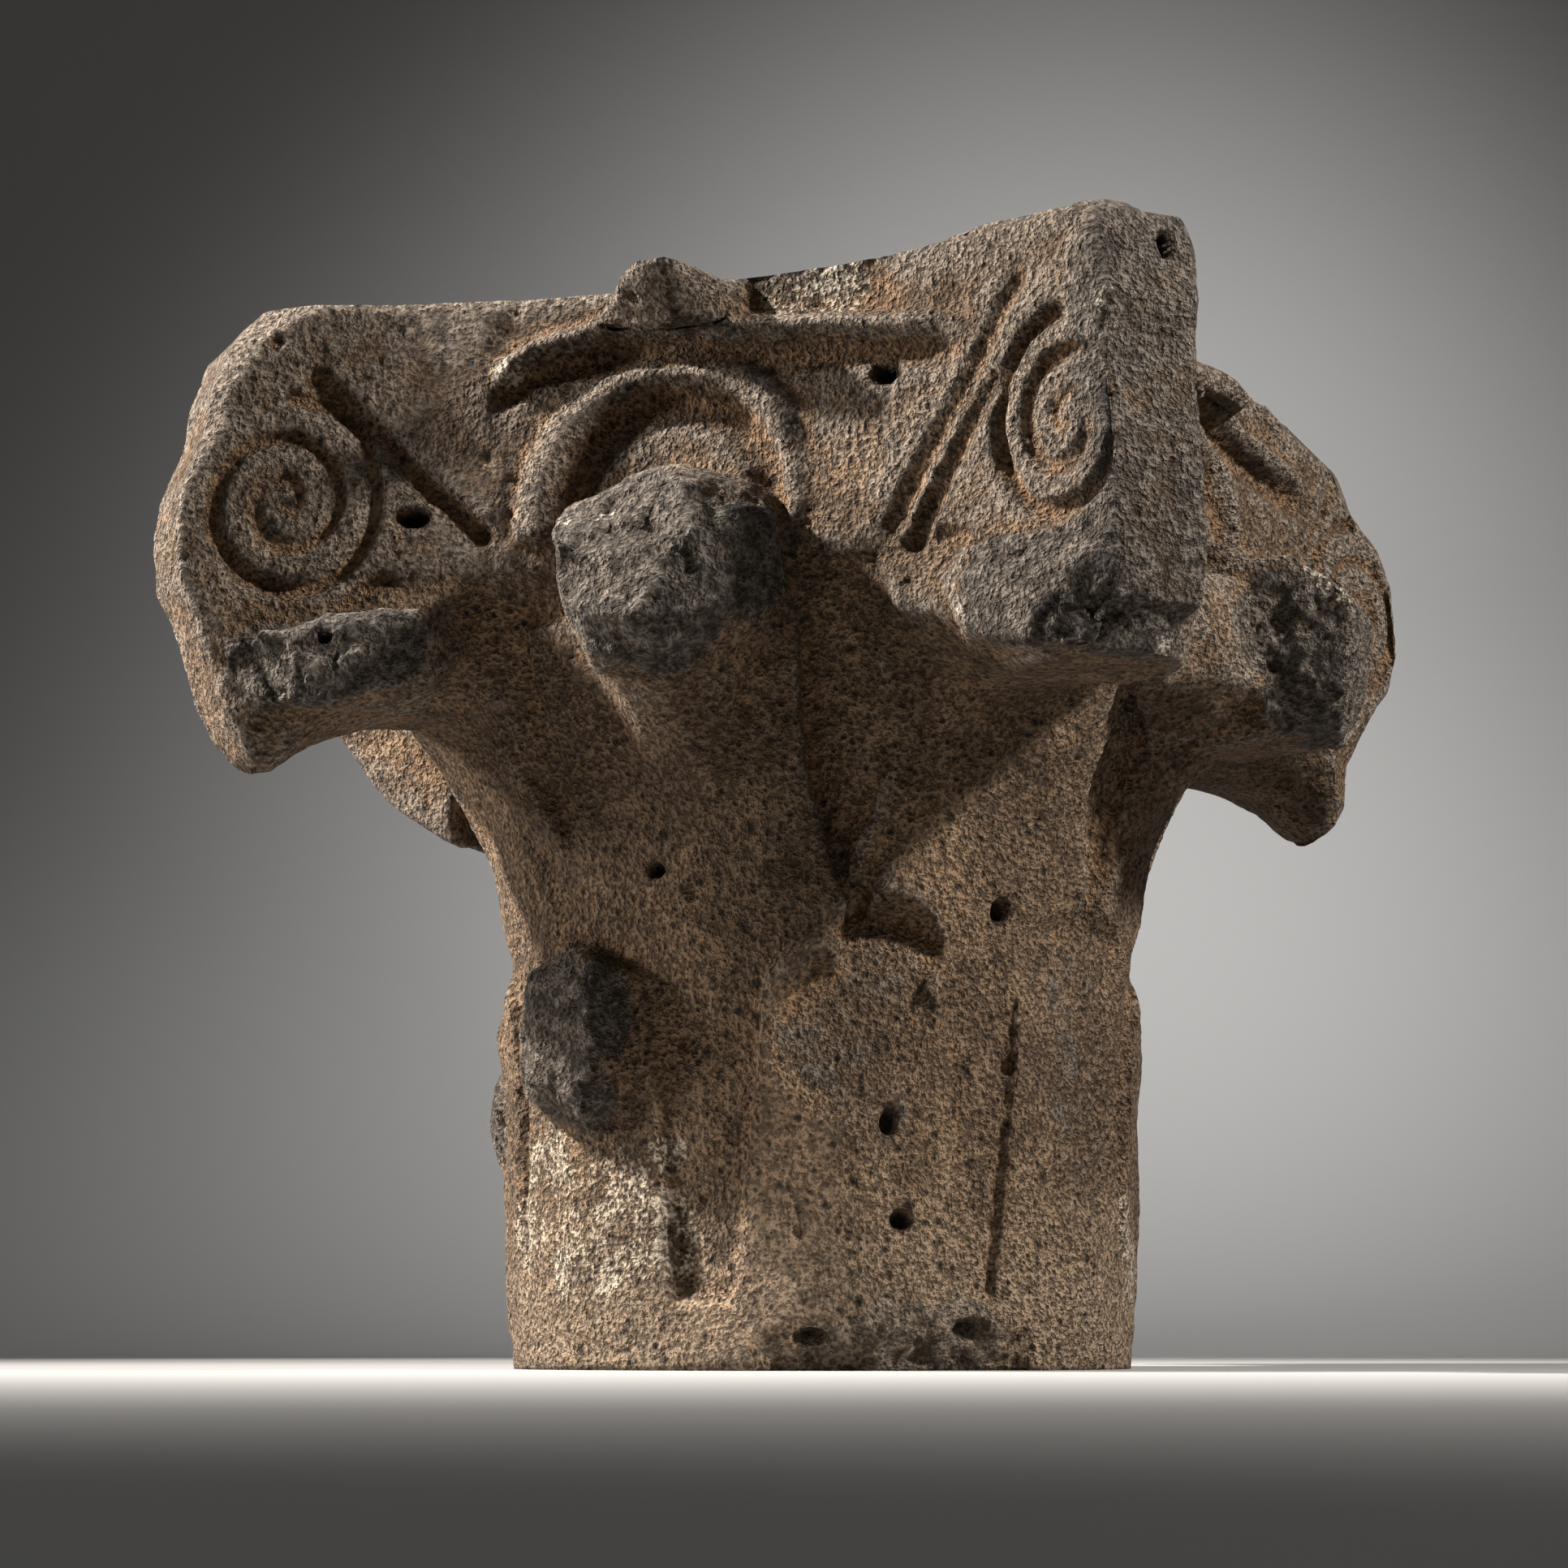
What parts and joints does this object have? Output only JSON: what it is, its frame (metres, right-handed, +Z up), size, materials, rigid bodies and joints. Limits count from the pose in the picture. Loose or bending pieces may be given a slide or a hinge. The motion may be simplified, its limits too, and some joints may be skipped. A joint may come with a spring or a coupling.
{
  "type": "basalt capital",
  "caption": "Weathered basalt column capital carved from one block: leafy bell, hollow-sided abacus, corner volutes, broken leaf tips.",
  "frame": {"origin": "on the capital's axis, in the middle of its round lower bed", "axes": "+Z up, along the column's axis; -Y out of the main carved side; +X out of the side to its right"},
  "size_m": [0.7226, 0.6879, 0.6665],
  "materials": {
    "basalt": "rough, porous and weathered"
  },
  "bodies": {
    "root": {"capital": "basalt"}
  },
  "joints": []
}
